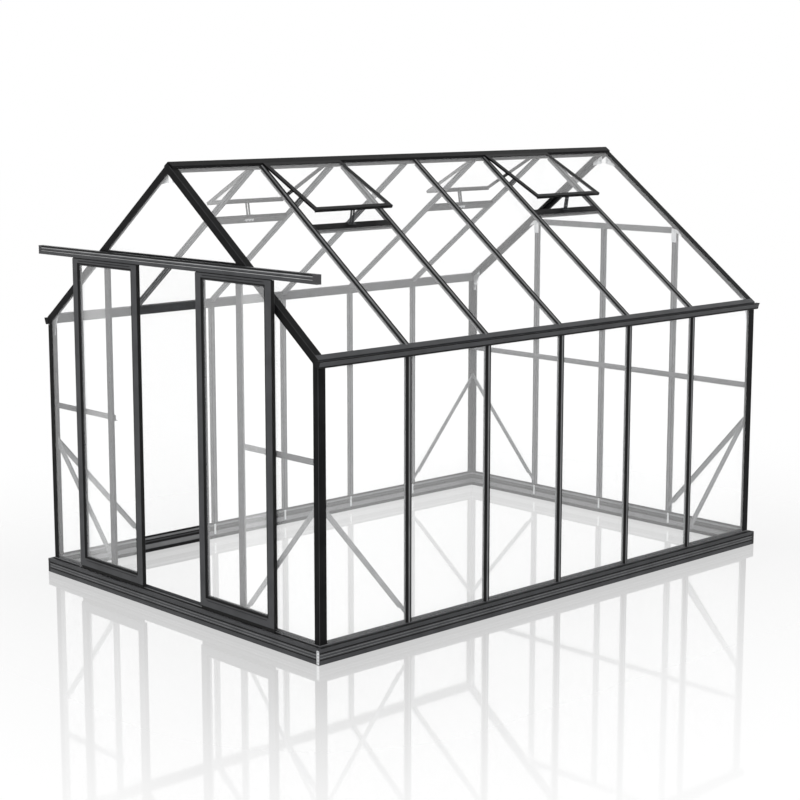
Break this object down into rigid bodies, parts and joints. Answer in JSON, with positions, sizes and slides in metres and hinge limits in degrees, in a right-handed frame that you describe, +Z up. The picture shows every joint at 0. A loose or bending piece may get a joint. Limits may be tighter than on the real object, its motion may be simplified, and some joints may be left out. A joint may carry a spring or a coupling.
{
  "type": "greenhouse",
  "caption": "Gable-roofed greenhouse of dark metal bars and clear sheets, with a ridge, eave gutters, open roof vents and sliding doors in the front gable.",
  "frame": {"origin": "centre of the base rail's footprint, on the ground", "axes": "+Y from the door gable to the back gable, +X to the right seen from the doors, +Z up"},
  "size_m": [2.6, 3.84, 2.6008],
  "materials": {
    "frame": "near-black powder coat, satin",
    "profile": "anthracite powder coat, satin",
    "bare_metal": "bare pressed metal, satin",
    "pane": "clear polycarbonate sheet, slightly milky",
    "roller": "moulded nylon",
    "cap_plastic": "moulded plastic"
  },
  "bodies": {
    "greenhouse": {"base_front": "profile", "base_back": "profile", "base_left": "profile", "base_right": "profile", "base_corner_plates": "bare_metal", "corner_posts": "frame", "side_bars_left": "profile", "side_bars_right": "profile", "door_jambs": "profile", "back_posts": "profile", "gutter_left": "profile", "gutter_right": "profile", "ridge": "frame", "gable_rafters_front": "frame", "gable_rafters_back": "frame", "roof_bars_left": "profile", "roof_bars_right": "profile", "door_header": "frame", "back_collar": "frame", "mid_rails_front": "profile", "mid_rail_back": "profile", "braces_side": "profile", "braces_gable": "profile", "gussets": "bare_metal", "foot_brackets": "bare_metal", "door_track": "profile", "track_end_caps": "cap_plastic", "side_panes_left": "pane", "side_panes_right": "pane", "front_panes": "pane", "back_panes": "pane", "roof_panes_left": "pane", "roof_panes_right": "pane", "vent_frames": "frame", "vent_panes": "pane", "vent_cills": "frame", "vent_stays": "bare_metal"},
    "door_left": {"door_frame_left": "profile", "door_pane_left": "pane", "door_rollers_left": "roller"},
    "door_right": {"door_frame_right": "profile", "door_pane_right": "pane", "door_rollers_right": "roller"}
  },
  "joints": [
    {"name": "door_left_slide", "type": "slide", "parent": "greenhouse", "child": "door_left", "axis": [1, 0, 0], "range_m": [-0.31, 0.2765]},
    {"name": "door_right_slide", "type": "slide", "parent": "greenhouse", "child": "door_right", "axis": [1, 0, 0], "range_m": [-0.2765, 0.31]}
  ]
}
